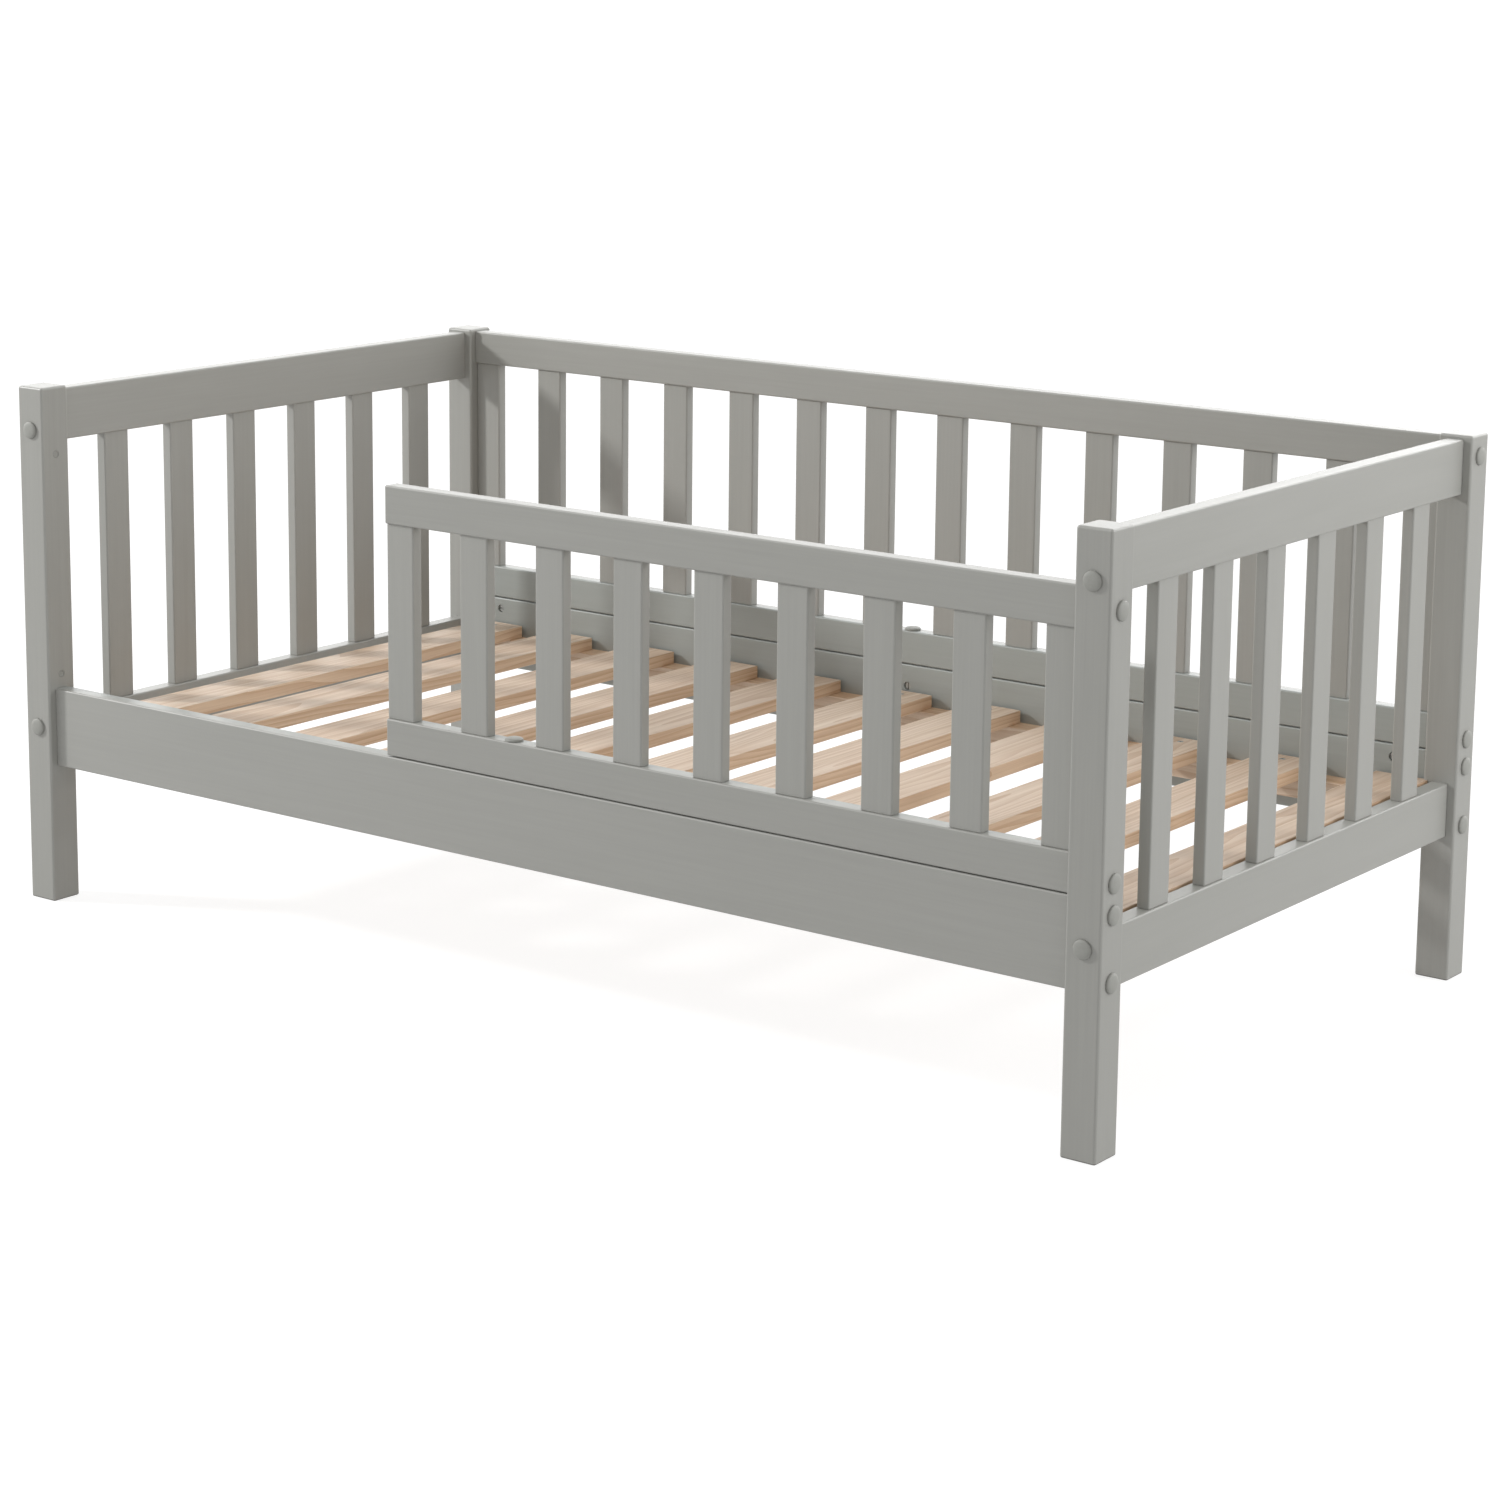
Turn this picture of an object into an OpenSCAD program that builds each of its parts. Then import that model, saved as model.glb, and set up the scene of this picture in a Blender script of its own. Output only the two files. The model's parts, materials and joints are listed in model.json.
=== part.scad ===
// Toddler bed with slatted ends, a slatted back, a partial front guard and a pine slat base.
// Origin: centre of the footprint on the floor. X runs along the length, with the guard's
// closed end at +X. Y runs across the width, with the open front at -Y. Z is up.

/* [Overall] */
// Length over the posts
bed_l = 1480; // [1470:1:1520]
// Width over the posts
bed_w = 790; // [780:1:820]
// Height of the posts
bed_h = 614; // [612:1:700]

/* [Posts] */
// Side of each square post
post = 40; // [38:1:45]
// Rounding of the post edges
post_r = 3; // [1:0.5:4]

/* [Rails] */
// Thickness of every rail
rail_t = 20; // [19:1:24]
// Rounding of the rail edges
rail_r = 2; // [1:0.5:3]
// Height of the underside of the lowest rails above the floor
rail_z = 164; // [150:1:180]
// Depth of the two side rails
side_h = 93; // [90:1:100]
// Depth of the end rails
end_h = 61; // [56:1:70]
// Depth of the narrow rails in the guard and in the back
narrow_h = 42; // [38:1:46]
// Height of the upper edge of the upper end rails
end_top = 609.5; // [600:0.5:611]
// Height of the upper edge of the back
back_top = 611; // [600:0.5:611]
// Height of the upper edge of the guard
guard_top = 556; // [530:1:565]
// Length of the guard
guard_l = 874; // [860:1:890]

/* [Upright slats] */
// Width of an upright slat
slat_w = 38; // [34:1:42]
// Thickness of an upright slat
slat_t = 14; // [12:1:16]
// Rounding of the slat edges
slat_r = 1.5; // [0.5:0.5:3]
// Depth of the pocket in a rail that holds the end of a slat
pocket = 10; // [6:1:14]

/* [Slat base] */
// Width of a base slat
base_w = 66; // [60:1:70]
// Thickness of a base slat
base_t = 16; // [14:1:18]
// Distance from one base slat to the next
base_pitch = 132.1; // [120:0.1:132.4]
// Height of the upper face of the base slats
base_z = 225; // [222:1:230]
// Gap between the end of a base slat and the side rail
base_gap = 5; // [2:1:8]
// Height of a ledge section
ledge_h = 25; // [22:1:28]
// Depth of a ledge section
ledge_t = 30; // [26:1:36]

/* [Fasteners] */
// Diameter of a cover cap
cap_d = 20; // [18:1:24]
// Height of a cover cap above the surface
cap_h = 4; // [2.8:0.2:5]
// Diameter of the clearance holes for the bolts
bore_d = 7; // [6.6:0.1:8]
// Diameter of the plug in the inner end of an unused bolt hole
plug_d = 8.6; // [8.2:0.2:10]
// Diameter of a barrel nut
nut_d = 10; // [8:1:12]
// Distance from the end of a side rail to its barrel nuts
nut_in = 43; // [38:1:50]

/* [Hidden] */
$fn = 64;
SIDES = ["left", "right"];

lacquer = "#9a9a93";
pine = "#dcbf9c";
steel = "#b9bcbd";
beech = "#caa272";

post_x = (bed_l - post) / 2;          // post axes
post_y = (bed_w - post) / 2;
inner_x = bed_l / 2 - post;           // faces of the posts that the rails butt against
inner_y = bed_w / 2 - post;
side_top = rail_z + side_h;           // the guard and the back stand on the side rails here
low_rail_top = side_top + narrow_h;

end_count = 6;
end_pitch = (2 * inner_y + slat_w) / (end_count + 1);
back_count = 14;
back_pitch = (2 * inner_x - slat_w) / (back_count - 1);
guard_count = 9;
guard_pitch = (guard_l - slat_w) / (guard_count - 1);
base_count = 11;
base_slack = [12, 0, 4, 6, 3, 7, 3, 0, 2, 3, 12];  // each base slat's step from its even place
base_l = 2 * (post_y - rail_t / 2 - base_gap);
tenon = pocket - 0.5;                 // a tenon stops just short of its pocket's floor
tenon_w = slat_w - 10;                // the tenons are narrower than the slats all round
tenon_t = slat_t - 4;

bore_r = bore_d / 2;
head_r = 5;                           // socket head of an M6 bolt
head_h = 6;
key_r = 2.9;                          // hexagon socket in the head
key_h = 3.5;
shank_r = 3;
sink_r = 6.5;                         // counterbore that takes the head and the cap's stem
sink_h = 8;
cap_rim = 1.8;                        // straight side of a cap, below its shallow dome
stem_l = 1.6;                         // a cap's stem, just inside the counterbore
stem_play = 0.2;
plug_h = 3;
insert_r = 5;                         // threaded insert in the end of a rail
insert_l = 15;
short_l = 60;
long_l = 85;
nut_depth = 17;
nut_recess = 1.5;                     // a barrel nut lies just below the rail's inner face
nut_l = nut_depth - nut_recess;
dowel_r = 4;
dowel_l = 30;
clear = 0.1;                          // radial play round a nut, insert or dowel

end_bolt_top = end_top - end_h + 15;  // bolts sit near the slatted side of each end rail
end_bolt_low = rail_z + end_h - 15;
dowel_top = end_top - 9.5;
dowel_low = rail_z + 26;
side_bolts = [rail_z + 12, rail_z + 78.5];
low_bolt = side_top + 16.5;
guard_bolts = [low_bolt, guard_top - narrow_h / 2];
back_bolts = [low_bolt, back_top - narrow_h / 2];
centre_nut_z = base_z + 5;

screw_r = 1.75;
screw_head_r = 3.6;
screw_head_h = 2.4;
screw_tip = 4;
screw_tip_r = 0.2;
slat_screw_in = 18;                   // from the end of a base slat to its screw
ledge_screw_steps = [-9, -5, -1, 1, 5, 9];  // half pitches, so each screw lies between two slats
ledge_top = base_z - base_t;
ledge_l = 2 * inner_x - 20;
ledge_y = post_y - rail_t / 2 - ledge_t / 2;

// ---------- shapes ----------

module round_rect(w, h, r) {
    square([w - 2 * r, h], center = true);
    square([w, h - 2 * r], center = true);
    for (x = [-1, 1], y = [-1, 1])
        translate([x * (w / 2 - r), y * (h / 2 - r)])
            circle(r);
}

// Board along X with four rounded long edges, centred on the origin.
module board_x(l, t, h, r) {
    rotate([90, 0, 90])
        linear_extrude(l, center = true)
            round_rect(t, h, r);
}

// Board along Y with four rounded long edges, centred on the origin.
module board_y(l, t, h, r) {
    rotate([90, 0, 0])
        linear_extrude(l, center = true)
            round_rect(t, h, r);
}

// Board with every edge rounded, centred on the origin.
module eased_board(x, y, z, r) {
    intersection() {
        board_x(x, y, z, r);
        board_y(y, x, z, r);
        linear_extrude(z, center = true)
            round_rect(x, y, r);
    }
}

// Hole for a bolt that enters along +Z at the origin, with a counterbore for its head.
module bolt_hole(depth) {
    translate([0, 0, -1])
        cylinder(r = bore_r, h = depth + 2);
    translate([0, 0, -1])
        cylinder(r = sink_r, h = sink_h + 1);
}

// Socket-head bolt whose head starts inside the counterbore, entering along +Z.
module bolt(l) {
    difference() {
        union() {
            translate([0, 0, sink_h - head_h])
                cylinder(r = head_r, h = head_h);
            translate([0, 0, sink_h])
                cylinder(r = shank_r, h = l);
        }
        translate([0, 0, sink_h - head_h - 1])
            cylinder(r = key_r, h = key_h + 1, $fn = 6);
    }
}

// Domed cap with a stem that plugs the counterbore. It stands towards -Z.
module cap() {
    dome_h = cap_h - cap_rim;
    dome_r = (pow(cap_d / 2, 2) + pow(dome_h, 2)) / (2 * dome_h);
    rotate([180, 0, 0])
        rotate_extrude()
            union() {
                intersection() {
                    translate([0, cap_h - dome_r])
                        circle(dome_r, $fn = 96);
                    square([cap_d / 2, cap_h]);
                }
                translate([0, -stem_l])
                    square([sink_r - stem_play, stem_l]);
            }
}

// Flush disc at the far end of a post's hole, or with extra radius and height the seat for it.
module hole_plug(extra_r = 0, extra_h = 0) {
    translate([0, 0, post - plug_h])
        cylinder(r = plug_d / 2 + extra_r, h = plug_h + extra_h);
}

// Countersunk wood screw, entering along -Z, head flush with the origin.
module wood_screw(l) {
    translate([0, 0, -screw_head_h])
        cylinder(r1 = screw_r, r2 = screw_head_r - 0.1, h = screw_head_h);
    translate([0, 0, -l + screw_tip])
        cylinder(r = screw_r, h = l - screw_tip - screw_head_h);
    translate([0, 0, -l])
        cylinder(r1 = screw_tip_r, r2 = screw_r, h = screw_tip);
}

module screw_hole(depth) {
    translate([0, 0, -screw_head_h])
        cylinder(r1 = screw_r, r2 = screw_head_r, h = screw_head_h);
    cylinder(r = screw_head_r, h = 1);
    translate([0, 0, -depth])
        cylinder(r = screw_r + 0.05, h = depth);
}

// ---------- places of the fasteners ----------

// Bolts that enter the outer X face of a post on side sx, row sy, at height z.
module at_x_face(sx, sy, z) {
    translate([sx * bed_l / 2, sy * post_y, z])
        rotate([0, -sx * 90, 0])
            children();
}

// Bolts that enter the outer Y face of a post.
module at_y_face(sx, sy, z) {
    translate([sx * post_x, sy * bed_w / 2, z])
        rotate([sy * 90, 0, 0])
            children();
}

function x_levels(sx, sy) = concat(side_bolts, sy < 0 ? guard_bolts : back_bolts);

// Levels whose bolts carry a guard rail or a back rail. The front left post has spare holes only.
function rail_levels(sx, sy) = sy > 0 ? back_bolts : sx > 0 ? guard_bolts : [];
function spare_levels(sx, sy) = sx < 0 && sy < 0 ? guard_bolts : [];

module each_corner_bolt() {
    for (sx = [-1, 1], sy = [-1, 1]) {
        for (z = rail_levels(sx, sy))
            at_x_face(sx, sy, z) children();
        for (z = [end_bolt_low, end_bolt_top])
            at_y_face(sx, sy, z) children();
    }
}

module each_side_bolt() {
    for (sx = [-1, 1], sy = [-1, 1], z = side_bolts)
        at_x_face(sx, sy, z) children();
}

module each_centre_bolt() {
    for (sy = [-1, 1])
        translate([0, sy * post_y, low_rail_top])
            rotate([180, 0, 0])
                children();
}

module each_dowel() {
    for (sx = [-1, 1], sy = [-1, 1], z = [dowel_low, dowel_top])
        translate([sx * post_x, sy * inner_y, z])
            rotate([90, 0, 0])
                children();
}

function base_x(i) = (i - (base_count - 1) / 2) * base_pitch + base_slack[i];

// ---------- frame ----------

module post_at(sx, sy) {
    color(lacquer)
        difference() {
            intersection() {
                translate([sx * post_x, sy * post_y, bed_h / 2 - post_r])
                    eased_board(post, post, bed_h + 2 * post_r, post_r);
                translate([sx * post_x, sy * post_y, bed_h / 2])
                    cube([post, post, bed_h], center = true);
            }
            for (z = x_levels(sx, sy))
                at_x_face(sx, sy, z) bolt_hole(post);
            for (z = [end_bolt_low, end_bolt_top])
                at_y_face(sx, sy, z) bolt_hole(post);
            for (z = spare_levels(sx, sy))
                at_x_face(sx, sy, z) hole_plug(clear, 1);
            each_dowel()
                cylinder(r = dowel_r + clear, h = dowel_l, center = true);
        }
}

// Hole for a short bolt and its threaded insert, from the end of a rail inwards along +Z.
module insert_hole() {
    translate([0, 0, -1])
        cylinder(r = insert_r + clear, h = insert_l + 1);
    cylinder(r = bore_r, h = short_l - (post - sink_h) + 4);
}

module end_rail(sx, top_edge, bolt_z, dowel_z, pocket_z) {
    color(lacquer)
        difference() {
            translate([sx * post_x, 0, top_edge - end_h / 2])
                board_y(2 * inner_y, rail_t, end_h, rail_r);
            for (i = [0 : end_count - 1])
                translate([sx * post_x, end_y(i), pocket_z])
                    cube([tenon_t, tenon_w, 2 * pocket], center = true);
            for (sy = [-1, 1])
                translate([sx * post_x, sy * inner_y, bolt_z])
                    rotate([sy * 90, 0, 0])
                        insert_hole();
            for (sy = [-1, 1])
                translate([sx * post_x, sy * inner_y, dowel_z])
                    rotate([90, 0, 0])
                        cylinder(r = dowel_r + clear, h = dowel_l, center = true);
        }
}

function end_y(i) = -inner_y - slat_w / 2 + (i + 1) * end_pitch;

module end_top_rail(sx) {
    end_rail(sx, end_top, end_bolt_top, dowel_top, end_top - end_h);
}

module end_bottom_rail(sx) {
    end_rail(sx, rail_z + end_h, end_bolt_low, dowel_low, rail_z + end_h);
}

// Upright slat of the given height with a tenon on each end, its wide face along Y.
module upright(h) {
    linear_extrude(h)
        round_rect(slat_w, slat_t, slat_r);
    translate([0, 0, h / 2])
        cube([tenon_w, tenon_t, h + 2 * tenon], center = true);
}

// Upright slat between the end rails, its wide face along X.
module end_slat(sx, i) {
    bottom = rail_z + end_h;
    color(lacquer)
        translate([sx * post_x, end_y(i), bottom])
            rotate([0, 0, 90])
                upright(end_top - end_h - bottom);
}

// Upright slat on the long side sy at x, from the lower narrow rail up to z1.
module long_side_slat(x, sy, z1) {
    color(lacquer)
        translate([x, sy * post_y, low_rail_top])
            upright(z1 - low_rail_top);
}

module side_rail(sy) {
    color(lacquer)
        difference() {
            translate([0, sy * post_y, rail_z + side_h / 2])
                board_x(2 * inner_x, rail_t, side_h, rail_r);
            for (sx = [-1, 1], z = side_bolts)
                translate([sx * inner_x, sy * post_y, z])
                    rotate([0, -sx * 90, 0])
                        translate([0, 0, -1])
                            cylinder(r = bore_r, h = long_l - (post - sink_h) + 5);
            for (sx = [-1, 1], z = side_bolts)
                nut_hole(sx * (inner_x - nut_in), sy, z);
            nut_hole(0, sy, centre_nut_z);
            translate([0, sy * post_y, centre_nut_z - 9])
                cylinder(r = bore_r, h = side_h);
            for (n = ledge_screw_steps)
                at_ledge_screw(sy, n)
                    translate([0, 0, -ledge_t - 16])
                        cylinder(r = screw_r + 0.05, h = ledge_t);
        }
}

// Cross hole for a barrel nut, blind from the rail's inner face.
module nut_hole(x, sy, z) {
    translate([x, sy * (post_y - rail_t / 2 - 1), z])
        rotate([-sy * 90, 0, 0])
            cylinder(r = nut_d / 2 + clear, h = nut_depth + 1);
}

// ---------- back and guard ----------

module narrow_rail_cuts(sy, xs, pocket_z) {
    for (x = xs)
        translate([x, sy * post_y, pocket_z])
            cube([tenon_w, tenon_t, 2 * pocket], center = true);
}

module rail_end_hole(sx, sy, z) {
    translate([sx * inner_x, sy * post_y, z])
        rotate([0, -sx * 90, 0])
            insert_hole();
}

// Vertical hole through a bottom rail for its centre bolt.
module centre_hole(sy) {
    translate([0, sy * post_y, low_rail_top])
        rotate([180, 0, 0])
            bolt_hole(narrow_h);
}

back_xs = [for (i = [0 : back_count - 1]) -inner_x + slat_w / 2 + i * back_pitch];
guard_xs = [for (i = [0 : guard_count - 1]) inner_x - guard_l + slat_w / 2 + i * guard_pitch];

module back_rail(top_edge, bolt_z, pocket_z) {
    difference() {
        translate([0, post_y, top_edge - narrow_h / 2])
            board_x(2 * inner_x, rail_t, narrow_h, rail_r);
        narrow_rail_cuts(1, back_xs, pocket_z);
        rail_end_hole(-1, 1, bolt_z);
        rail_end_hole(1, 1, bolt_z);
    }
}

module back_top_rail() {
    color(lacquer)
        back_rail(back_top, back_bolts[1], back_top - narrow_h);
}

module back_bottom_rail() {
    color(lacquer)
        difference() {
            back_rail(low_rail_top, low_bolt, low_rail_top);
            centre_hole(1);
        }
}

module back_slats() {
    for (x = back_xs)
        long_side_slat(x, 1, back_top - narrow_h);
}

// Guard rail: its -X end is free and rounded, its +X end butts against the post.
module guard_rail(top_edge, bolt_z, pocket_z) {
    difference() {
        intersection() {
            translate([inner_x - guard_l / 2 + rail_r, -post_y, top_edge - narrow_h / 2])
                eased_board(guard_l + 2 * rail_r, rail_t, narrow_h, rail_r);
            translate([inner_x - guard_l, -post_y - rail_t / 2, top_edge - narrow_h])
                cube([guard_l, rail_t, narrow_h]);
        }
        narrow_rail_cuts(-1, guard_xs, pocket_z);
        rail_end_hole(1, -1, bolt_z);
    }
}

module guard_top_rail() {
    color(lacquer)
        guard_rail(guard_top, guard_bolts[1], guard_top - narrow_h);
}

module guard_bottom_rail() {
    color(lacquer)
        difference() {
            guard_rail(low_rail_top, low_bolt, low_rail_top);
            centre_hole(-1);
        }
}

module guard_slat(i) {
    long_side_slat(guard_xs[i], -1, guard_top - narrow_h);
}

// ---------- slat base ----------

// Screw that fixes a ledge to its side rail, entering from the ledge's inner face.
module at_ledge_screw(sy, n) {
    translate([n * base_pitch / 2, sy * (ledge_y - ledge_t / 2), ledge_top - ledge_h / 2])
        rotate([sy * 90, 0, 0])
            children();
}

module at_slat_screw(sy, i) {
    translate([base_x(i), sy * (base_l / 2 - slat_screw_in), base_z])
        children();
}

module ledge(sy) {
    color(pine)
        difference() {
            translate([0, sy * ledge_y, ledge_top - ledge_h / 2])
                eased_board(ledge_l, ledge_t, ledge_h, 1);
            for (n = ledge_screw_steps)
                at_ledge_screw(sy, n) screw_hole(ledge_t + 2);
            for (i = [0 : base_count - 1])
                at_slat_screw(sy, i) screw_hole(base_t + 20);
        }
}

module base_slat(i) {
    color(pine)
        difference() {
            translate([base_x(i), 0, base_z - base_t / 2])
                eased_board(base_w, base_l, base_t, 1);
            for (sy = [-1, 1])
                at_slat_screw(sy, i) screw_hole(base_t + 2);
        }
}

// ---------- fasteners ----------

module short_bolts() {
    color(steel)
        each_corner_bolt() bolt(short_l);
}

module long_bolts() {
    color(steel)
        each_side_bolt() bolt(long_l);
}

module centre_bolts() {
    color(steel)
        each_centre_bolt() bolt(low_rail_top - sink_h - centre_nut_z + 7);
}

module insert_nuts() {
    color(steel)
        each_corner_bolt()
            translate([0, 0, post])
                difference() {
                    cylinder(r = insert_r, h = insert_l);
                    translate([0, 0, -1])
                        cylinder(r = shank_r + clear, h = insert_l + 2);
                }
}

// Barrel nut along Z with a threaded cross hole along X.
module barrel_nut() {
    difference() {
        cylinder(r = nut_d / 2, h = nut_l);
        translate([-nut_d, 0, rail_t / 2 - nut_recess])
            rotate([0, 90, 0])
                cylinder(r = shank_r + clear, h = 2 * nut_d);
        translate([-nut_d, -0.7, -1])
            cube([2 * nut_d, 1.4, 2.2]);
    }
}

// The nut lies across the rail, its slotted face towards the inside of the bed.
module placed_nut(x, sy, z, turn) {
    translate([x, sy * (post_y - rail_t / 2 + nut_recess), z])
        rotate([-sy * 90, 0, 0])
            rotate([0, 0, turn])
                barrel_nut();
}

module barrel_nuts() {
    color(steel) {
        for (sx = [-1, 1], sy = [-1, 1], z = side_bolts)
            placed_nut(sx * (inner_x - nut_in), sy, z, 0);
        for (sy = [-1, 1])
            placed_nut(0, sy, centre_nut_z, 90);
    }
}

module dowels() {
    color(beech)
        each_dowel()
            cylinder(r = dowel_r, h = dowel_l, center = true);
}

module cover_caps() {
    color(lacquer) {
        for (sx = [-1, 1], sy = [-1, 1]) {
            for (z = concat(side_bolts, rail_levels(sx, sy)))
                at_x_face(sx, sy, z) cap();
            for (z = [end_bolt_low, end_bolt_top])
                at_y_face(sx, sy, z) cap();
        }
        each_centre_bolt() cap();
    }
}

module hole_plugs() {
    color(lacquer)
        for (z = spare_levels(-1, -1))
            at_x_face(-1, -1, z) hole_plug();
}

module slat_screws() {
    color(steel)
        for (sy = [-1, 1], i = [0 : base_count - 1])
            at_slat_screw(sy, i) wood_screw(base_t + 18);
}

module ledge_screws() {
    color(steel)
        for (sy = [-1, 1], n = ledge_screw_steps)
            at_ledge_screw(sy, n) wood_screw(ledge_t + 14);
}

// ---------- nodes ----------

post_at(-1, -1);  // post_front_left
post_at(1, -1);  // post_front_right
post_at(-1, 1);  // post_back_left
post_at(1, 1);  // post_back_right
end_top_rail(-1);  // end_top_rail_left
end_top_rail(1);  // end_top_rail_right
end_bottom_rail(-1);  // end_bottom_rail_left
end_bottom_rail(1);  // end_bottom_rail_right
for (i = [0 : end_count - 1]) {
    end_slat(-1, i);
    end_slat(1, i);
}
side_rail(-1);  // side_rail_front
side_rail(1);  // side_rail_back
back_top_rail();
back_bottom_rail();
back_slats();
guard_top_rail();
guard_bottom_rail();
for (i = [0 : guard_count - 1])
    guard_slat(i);
ledge(-1);  // ledge_front
ledge(1);  // ledge_back
for (i = [0 : base_count - 1])
    base_slat(i);
short_bolts();
long_bolts();
centre_bolts();
insert_nuts();
barrel_nuts();
dowels();
cover_caps();
hole_plugs();
slat_screws();
ledge_screws();
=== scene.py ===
"""Toddler bed: satin grey painted wood with a planed pine slat base, on a pale studio floor."""
import json
import math
import random

import bmesh
import bpy
from mathutils import Matrix, Vector


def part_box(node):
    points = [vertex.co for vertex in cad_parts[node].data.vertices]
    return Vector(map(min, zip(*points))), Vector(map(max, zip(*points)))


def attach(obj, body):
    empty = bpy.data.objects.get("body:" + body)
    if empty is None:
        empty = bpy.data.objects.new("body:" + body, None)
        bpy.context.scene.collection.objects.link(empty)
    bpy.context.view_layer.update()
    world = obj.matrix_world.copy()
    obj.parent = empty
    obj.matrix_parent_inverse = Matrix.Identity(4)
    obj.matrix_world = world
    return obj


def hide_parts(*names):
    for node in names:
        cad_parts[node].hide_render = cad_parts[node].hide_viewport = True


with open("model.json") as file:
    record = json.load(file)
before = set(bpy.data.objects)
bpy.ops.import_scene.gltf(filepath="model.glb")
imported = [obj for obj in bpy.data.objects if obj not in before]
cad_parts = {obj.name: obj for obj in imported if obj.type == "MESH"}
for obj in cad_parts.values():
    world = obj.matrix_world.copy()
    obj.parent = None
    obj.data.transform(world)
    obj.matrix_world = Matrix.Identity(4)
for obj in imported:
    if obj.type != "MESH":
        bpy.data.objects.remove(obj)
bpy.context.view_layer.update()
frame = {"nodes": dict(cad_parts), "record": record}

X, Y, Z = 0, 1, 2
rng = random.Random(7)

# Boards, in metres
POST_ROUND = 0.003
RAIL_ROUND = 0.002
SLAT_ROUND = 0.002
PINE_ROUND = 0.0011
FOOT_ROUND = 0.002
BUTT_ROUND = 0.0008      # ends that butt against another board
SQUARE_ENDS = (BUTT_ROUND, BUTT_ROUND)
ROUND_STEPS = 4
LEAST_CORNER = 0.25      # share of a long edge's radius that is left at a board's very end
JOINT_GAP = 0.0011       # shadow gap under a rail that lies on another
TENON = 0.0095           # hidden length at each end of an upright slat
CUT_OVER = 0.001         # how far a cutter starts outside the face it cuts
CUT_SEGMENTS = 40

# Grain, tints, painted highlight and painted shade, in metres
GRAIN_SHIFT_ALONG = 40   # greatest random shift of the grain's pattern along a board
GRAIN_SHIFT_ACROSS = 4
PITH_ASIDE = 0.045       # how far to a side the growth rings' centre may lie
PITH_DEEP = (0.020, 0.055)
EDGE_HIGHLIGHT_FULL = 0.7          # how far into a rounding its lighter tint, a painted highlight, is at its full strength
# Painted shade: height of the dark tint on the rounding under each leg.
FOOT_SHADE_TOP = 0.9 * FOOT_ROUND
GLOW_TOP = 0.33          # height up to which the rails' inner faces take the pine's warm bounce
SIDE_NORMAL = 0.8        # least sideways part of the normal of a board's narrow faces, which take the pine's painted side shade

# Fasteners, in metres
TIP_RADIUS = 0.0002      # a turned shape's innermost ring, which closes its middle
CAP_RADIUS = 0.010
CAP_HEIGHT = 0.004
CAP_RIM = 0.0013
CAP_UNDERCUT = 0.0005    # width and height of the step under the rim
CAP_CROWN = 2.4          # power of the crown's curve: 2 is round, more is flatter on top
CAP_STEM_RADIUS = 0.0063
CAP_STEM = 0.0016
CAP_SEGMENTS = 56
CROWN_STEPS = 14
SINK_RADIUS = 0.0065     # the wide mouth of a spare bore, on the post's outer face
SINK_DEPTH = 0.008
PLUG_PLAY = 0.0001
PLUG_LIP = 0.0005        # width and height of the lip round a plug's dished face
PLUG_SEGMENTS = 40
NUT_RADIUS = 0.005
NUT_BEVEL = 0.0006
NUT_SUNK = 0.0006        # extra depth of a nut's face in its hole
NUT_HOLE_RADIUS = 0.0052
NUT_HOLE_DEPTH = 0.017
NUT_SLOT_REACH = 0.007   # half the slot's length, past the nut's rim
NUT_SLOT_HALF = 0.0008
NUT_SLOT_DEPTH = 0.0016
NUT_SEGMENTS = 40
END_NUTS_FROM = 0.1      # nuts closer than this to the bed's middle have upright slots
SCREW_HEAD_RADIUS = 0.0036
SCREW_HEAD_RISE = 0.0002
SCREW_HEAD_DEPTH = 0.0026
SCREW_RIM = (0.0005, 0.0002)    # depths between which the head's rim is straight
SCREW_HEAD_BEVEL = 0.0003
SCREW_SHANK_RADIUS = 0.0017
SCREW_POINT_RADIUS = 0.0006
SCREW_POINT_LENGTH = 0.004
SCREW_SEGMENTS = 32
SCREW_SINK_PLAY = 0.0003
SCREW_SINK_DEPTH = 0.0014
RECESS_REACH = 0.0021
RECESS_HALF = 0.0004
RECESS_DEPTH = 0.0013
RECESS_ROUND = 0.00012
CUTTER_ROUND = 0.0001

# Camera, in metres and radians, its lens and sensor in millimetres
CAMERA_PLACE = (2.3981, -3.1726, 1.1843)
CAMERA_YAW = 0.6413
CAMERA_PITCH = -0.1836
CAMERA_ROLL = 0.0102
CAMERA_LENS = 85.48
CAMERA_SHIFT = -0.13
CAMERA_SENSOR = 36.0
CAMERA_FAR = 200.0

# Light
AMBIENT = 0.547           # world light on matt surfaces
SHEEN = 2.48              # bright studio walls, as glossy surfaces see them
KEY = 140.5
KEY_TOWARDS = (1.85, 1.0, -0.97)
KEY_AIM = (0.0, 0.0, 0.35)
KEY_DISTANCE = 5.0
KEY_SIZE = (0.45, 0.45)
SIDE = 24.0
SIDE_PLACE = (2.9, 0.9, 1.1)
SIDE_AIM = (0.74, 0.0, 0.3)
SIDE_SIZE = (0.9, 0.9)
REAR = 1.4
REAR_TOWARDS = (0.0, -1.0, -0.35)
REAR_ANGLE = 50          # degrees
FLOOR_HALF = 60.0
FLOOR_COLOUR = (0.30, 0.30, 0.30)
FLOOR_LIGHT = 0.437       # what the floor gives back to the bed
FLOOR_SEEN = 0.8          # what the camera sees on top of its lit colour


# ---------------------------------------------------------------- materials

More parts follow.
